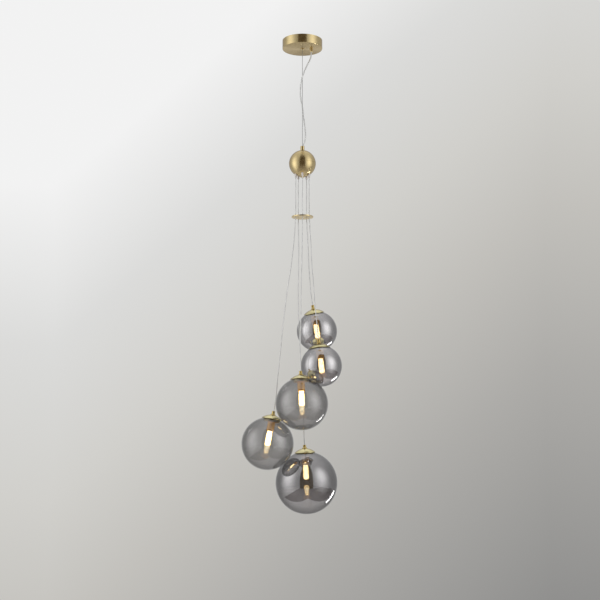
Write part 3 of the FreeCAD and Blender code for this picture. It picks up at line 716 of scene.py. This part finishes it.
def globe(i, place):
    """Blown glass with a soft lip at its mouth."""
    radius = GLOBE_DIAMETERS[i] / 2
    inner = radius - GLASS_WALL
    outer_edge = math.degrees(math.acos(MOUTH_RADIUS / radius))
    inner_edge = math.degrees(math.acos(MOUTH_RADIUS / inner))
    lip = 0.5
    lip_z = -radius + (radius + inner) / 2 * math.sin(math.radians(outer_edge))
    profile = arc(0, -radius, radius, outer_edge - lip, -90, GLOBE_STEPS)
    profile += arc(0, -radius, inner, -90, inner_edge - lip, GLOBE_STEPS)
    profile += [(MOUTH_RADIUS, lip_z), profile[0]]
    turned(f"globe_{i}_glass", profile, f"glass_globe_{i}", f"globe_{i}", place, GLOBE_GLASS[i],
           "smoked_glass")


# ---------------------------------------------------------------- CAD nodes that stay

NODE_MATERIALS = {
    "ceiling_bracket": "steel",
    "canopy_grub_screws": "flat_brass",
    "supply_terminal_block": "ceramic",
    "wire_nozzle": "flat_brass",
    "power_cord_grip": "flat_brass",
    "suspension_wire": "steel",
    "hub_tie_screw": "flat_brass",
    "supply_splitter_block": "black",
    "hub_cable_bushes": "bush",
    "spacer_disc": "flat_brass",
}
PENDANT_NODE_MATERIALS = {
    "upper_cable": "sheath",
    "ceramic_socket": "ceramic",
    "globe_collar": "flat_brass",
}


def dress_nodes():
    dressed = dict(NODE_MATERIALS)
    for i in PENDANTS:
        dressed.update({f"{name}_{i}": material for name, material in PENDANT_NODE_MATERIALS.items()})
    for name, material in dressed.items():
        mesh = NODES[name].data
        mesh.materials.clear()
        mesh.materials.append(MATERIALS[material])
        finish_mesh(mesh)


# ---------------------------------------------------------------- studio

FLOOR_Z = -2.6
FLOOR_RADIUS = 5.5
FLOOR_LIGHT = (0.60, 0.59, 0.58)
FLOOR_DARK = (0.56, 0.55, 0.54)
FLOOR_STEPS = 96


def stage_floor():
    mesh = bpy.data.meshes.new("studio_floor")
    made = bmesh.new()
    bmesh.ops.create_circle(made, cap_ends=True, radius=FLOOR_RADIUS, segments=FLOOR_STEPS)
    made.to_mesh(mesh)
    made.free()
    floor = bpy.data.objects.new("studio_floor", mesh)
    floor.location.z = FLOOR_Z
    scene.collection.objects.link(floor)
    n = Nodes("studio_floor_paint")
    patches = n.noise(n.place(), scale=1.2, detail=2.0, roughness=0.5)
    body = n.principled(Roughness=0.75)
    n.join(n.ramp(patches, (0.3, FLOOR_DARK), (0.7, FLOOR_LIGHT)), body.inputs["Base Color"])
    n.shader(body.outputs["BSDF"])
    mesh.materials.append(n.material)


def softbox(name, place, aim, width, height, power, in_gloss):
    """A soft light that the camera doesn't see. One for gloss is only a highlight, and lights no floor."""
    data = bpy.data.lights.new(name, "AREA")
    data.shape = "RECTANGLE"
    data.size = width
    data.size_y = height
    data.energy = power
    lamp = bpy.data.objects.new(name, data)
    lamp.location = place
    lamp.rotation_euler = (Vector(aim) - Vector(place)).to_track_quat("-Z", "Y").to_euler()
    lamp.visible_camera = False
    lamp.visible_glossy = in_gloss
    lamp.visible_diffuse = not in_gloss
    scene.collection.objects.link(lamp)


class WorldNodes(Tree):
    """The world's node tree."""

    def __init__(self):
        scene.world = bpy.data.worlds.new("studio")
        super().__init__(scene.world, "OutputWorld")

    def background(self, colour):
        made = self.add("Background")
        if isinstance(colour, tuple):
            made.inputs["Color"].default_value = (*colour, 1)
        else:
            self.join(colour, made.inputs["Color"])
        return made.outputs["Background"]

    def mix(self, factor, first, second):
        made = self.add("MixShader")
        for socket, value in zip(made.inputs, (factor, first, second)):
            self.join(value, socket)
        return made.outputs["Shader"]


# The backdrop that the camera sees, from 20 degrees below the horizon to 30 degrees above it. It is
# lighter to the upper left.
BACKDROP_SPAN = (-20, 30)
BACKDROP = [
    (0.0, (0.27, 0.268, 0.263)),
    (0.25, (0.42, 0.412, 0.395)),
    (0.42, (0.54, 0.528, 0.50)),
    (0.56, (0.635, 0.627, 0.60)),
    (0.72, (0.71, 0.71, 0.70)),
    (0.88, (0.89, 0.89, 0.89)),
]
BACKDROP_TILT = 1.05
BACKDROP_REACH = 0.22
# How much lighter it grows on the way round to behind the camera.
BACKDROP_ROUND = 0.15
# What gloss sees of the studio, from straight down to straight up.
STUDIO_LEVELS = [
    (0.0, (0.42, 0.42, 0.42)),
    (0.35, (0.36, 0.36, 0.36)),
    (0.52, (0.33, 0.33, 0.34)),
    (0.70, (0.38, 0.38, 0.39)),
    (0.90, (0.55, 0.55, 0.55)),
    (1.0, (0.62, 0.62, 0.62)),
]
# How much lighter it is on the backdrop's side, and how fast that falls off to its sides.
BACKDROP_GLOW = 0.30
BACKDROP_FALL = 3
ROOM_LIGHT = (0.62, 0.62, 0.62)


def studio_world():
    """A pale backdrop for the camera, soft lights for gloss, and plain light for the rest."""
    w = WorldNodes()
    x, y, z = w.split(w.add("TexCoord").outputs["Generated"])
    rise = w.math("ARCSINE", z)
    turn = w.math("ARCTAN2", x, w.math("MULTIPLY", y, -1.0))
    low, high = (math.radians(angle) for angle in BACKDROP_SPAN)
    up_backdrop = w.math("DIVIDE", w.math("SUBTRACT", rise, low), high - low)
    aside = w.math("MAXIMUM", w.math("MINIMUM", x, BACKDROP_REACH), -BACKDROP_REACH)
    tilt = w.math("MULTIPLY", w.math("MAXIMUM", y, 0), -BACKDROP_TILT)
    up_backdrop = w.math("MULTIPLY_ADD", w.math("SUBTRACT", 1, y), BACKDROP_ROUND, up_backdrop)
    backdrop = w.ramp(w.math("MULTIPLY_ADD", aside, tilt, up_backdrop), *BACKDROP)
    gloss = w.ramp(w.math("MULTIPLY_ADD", z, 0.5, 0.5), *STUDIO_LEVELS)
    behind = w.math("MAXIMUM", w.math("MULTIPLY", w.math("COSINE", turn), -1.0), 0)
    gloss = w.math("MULTIPLY_ADD", w.math("POWER", behind, BACKDROP_FALL), BACKDROP_GLOW, gloss)
    paths = w.add("LightPath")
    seen = w.math("MAXIMUM", paths.outputs["Is Camera Ray"], paths.outputs["Is Transmission Ray"])
    lit = w.mix(paths.outputs["Is Glossy Ray"], w.background(ROOM_LIGHT), w.background(gloss))
    w.shader(w.mix(seen, lit, w.background(backdrop)))


HIDDEN_RAYS = ("camera", "diffuse", "transmission", "shadow", "volume_scatter")


def for_gloss(name, corners, material):
    """A flat panel that only reflections see."""
    mesh = bpy.data.meshes.new(name)
    mesh.from_pydata(corners, [], [range(len(corners))])
    panel = bpy.data.objects.new(name, mesh)
    scene.collection.objects.link(panel)
    for ray in HIDDEN_RAYS:
        setattr(panel, f"visible_{ray}", False)
    mesh.materials.append(material)
    return panel


# The soft lights as reflections show them: turn is the angle round the lamp from behind the camera,
# positive to the right, in degrees. Width and height are how far a light's brightness spreads, and
# its panel reaches GLOW_REACH times as far.
GLOWS = {
    "right_glow": {"turn": 60, "distance": 2.3, "z": -0.34, "width": 1.05, "height": 1.50, "level": 1.12},
    "left_glow": {"turn": -74, "distance": 2.3, "z": -0.46, "width": 1.10, "height": 1.60, "level": 1.12},
}
GLOW_REACH = 2.4


def glow_material(name, glow):
    """Light that fades from the middle of its panel, which is otherwise clear."""
    n = Nodes(name)
    x, _, z = n.split(n.place())
    across = n.math("POWER", n.math("DIVIDE", n.math("ABSOLUTE", x), glow["width"]), 2.0)
    along = n.math("POWER", n.math("DIVIDE", n.math("ABSOLUTE", z), glow["height"]), 2.0)
    fading = n.math("EXPONENT", n.math("MULTIPLY", n.math("ADD", across, along), -1.0))
    light = n.add("Emission")
    n.join(n.math("MULTIPLY", fading, glow["level"]), light.inputs["Strength"])
    both = n.add("AddShader")
    n.join(light.outputs["Emission"], both.inputs[0])
    n.join(n.add("BsdfTransparent").outputs["BSDF"], both.inputs[1])
    n.shader(both.outputs["Shader"])
    return n.material


def glows():
    for name, glow in GLOWS.items():
        across = GLOW_REACH * glow["width"]
        along = GLOW_REACH * glow["height"]
        corners = [(-across, 0, -along), (across, 0, -along), (across, 0, along), (-across, 0, along)]
        panel = for_gloss(name, corners, glow_material(name, glow))
        turn = math.radians(glow["turn"])
        panel.location = (glow["distance"] * math.sin(turn), -glow["distance"] * math.cos(turn), glow["z"])
        panel.rotation_euler.z = turn


FLAG_HALF_WIDTH = 1.65
FLAG_Y = -3.5
FLAG_TOP = 6.5
FLAG_BOTTOM = FLOOR_Z + 0.01
# The outline on the floor of the darker part of the room, round the pale part under the lamp.
MAT_OUTLINE = [(-1.9, FLAG_Y), (5.0, FLAG_Y), (5.0, 2.2), (2.1, 1.3), (0.14, -0.85), (-1.9, 0.9)]


def flags():
    left, right = -FLAG_HALF_WIDTH, FLAG_HALF_WIDTH
    upright = [(left, FLAG_BOTTOM), (right, FLAG_BOTTOM), (right, FLAG_TOP), (left, FLAG_TOP)]
    for_gloss("flag_behind_camera", [(x, FLAG_Y, z) for x, z in upright], MATERIALS["flag"])
    for_gloss("mat_on_floor", [(x, y, FLAG_BOTTOM) for x, y in MAT_OUTLINE], MATERIALS["mat"])


LAMP_MIDDLE = (0, 0, -0.75)
GLOBES_MIDDLE = (0, 0, -1.15)
SOFTBOXES = {
    "left_softbox": {"place": (-2.1, -1.6, -0.2), "aim": LAMP_MIDDLE, "width": 1.3, "height": 1.9,
                     "power": 50, "in_gloss": False},
    "right_softbox": {"place": (2.0, -1.9, -0.3), "aim": LAMP_MIDDLE, "width": 1.1, "height": 1.7,
                      "power": 40, "in_gloss": False},
    "low_strip": {"place": (1.30, 1.15, -2.15), "aim": GLOBES_MIDDLE, "width": 0.11, "height": 0.8,
                  "power": 6, "in_gloss": True},
}


def lights():
    for name, values in SOFTBOXES.items():
        softbox(name, **values)


# ---------------------------------------------------------------- making it

make_camera()
power_cord()
for number in PENDANTS:
    pendant_cord(number, pendant_place(number))
canopy()
hub()
hub_stem()
for number in PENDANTS:
    here = pendant_place(number)
    cable_gland(number, here)
    globe_cap(number, here)
    lampholder(number, here)
    bulb(number, here)
    globe(number, here)
dress_nodes()
stage_floor()
studio_world()
flags()
glows()
lights()
